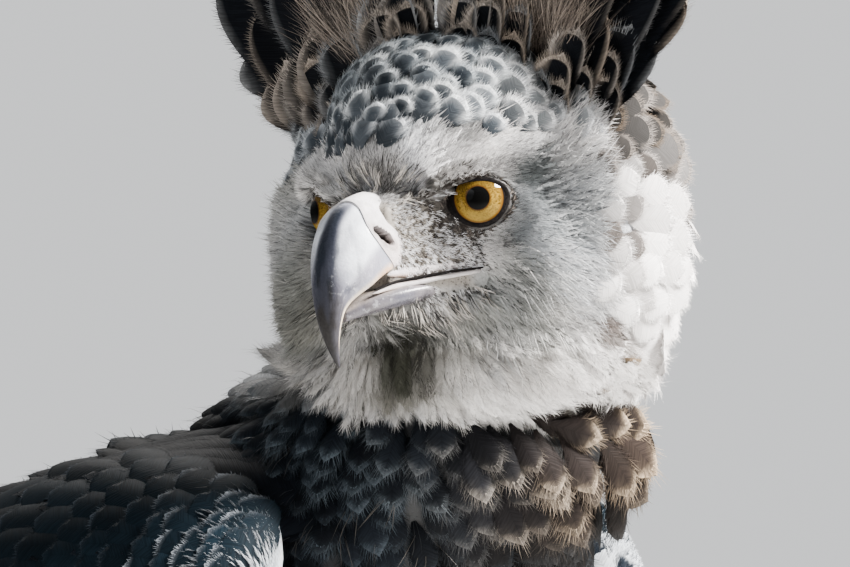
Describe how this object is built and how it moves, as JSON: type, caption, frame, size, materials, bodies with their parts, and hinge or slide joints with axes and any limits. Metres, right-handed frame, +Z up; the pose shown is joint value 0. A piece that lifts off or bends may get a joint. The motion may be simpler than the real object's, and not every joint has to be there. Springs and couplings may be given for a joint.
{
  "type": "harpy eagle model",
  "caption": "Life-size still model of an adult harpy eagle standing on both feet, wings folded, double crest raised, head turned to its right.",
  "frame": {"origin": "on the floor, under the middle of the whole model's box", "axes": "trunk faces -Y, +X is the bird's left, +Z up; the head is turned to the bird's right"},
  "size_m": [0.2822, 0.73, 0.7185],
  "materials": {
    "face_plumage": "soft pale grey feathers",
    "collar_plumage": "soft black feathers with pale fringes",
    "body_plumage": "soft white feathers, black on the back",
    "wing_plumage": "firm slate-black feathers with a faint gloss",
    "crest_plumage": "firm black feathers with pale tips",
    "thigh_plumage": "soft white feathers barred with black",
    "bill_horn": "blue-grey horn, satin gloss",
    "cere_skin": "matt leathery skin",
    "eye": "glass eye, amber iris and black pupil",
    "leg_skin": "yellow scaly skin",
    "claw_horn": "black horn, polished"
  },
  "bodies": {
    "root": {"head": "face_plumage", "neck": "collar_plumage", "trunk": "body_plumage", "tail": "wing_plumage", "wing_left": "wing_plumage", "wing_right": "wing_plumage", "crest_left": "crest_plumage", "crest_right": "crest_plumage", "thigh_left": "thigh_plumage", "thigh_right": "thigh_plumage", "tarsus_left": "leg_skin", "tarsus_right": "leg_skin", "foot_left": "leg_skin", "foot_right": "leg_skin", "bill_upper": "bill_horn", "bill_lower": "bill_horn", "cere": "cere_skin", "eye_left": "eye", "eye_right": "eye", "claw_inner_left": "claw_horn", "claw_middle_left": "claw_horn", "claw_outer_left": "claw_horn", "claw_hind_left": "claw_horn", "claw_inner_right": "claw_horn", "claw_middle_right": "claw_horn", "claw_outer_right": "claw_horn", "claw_hind_right": "claw_horn"}
  },
  "joints": []
}
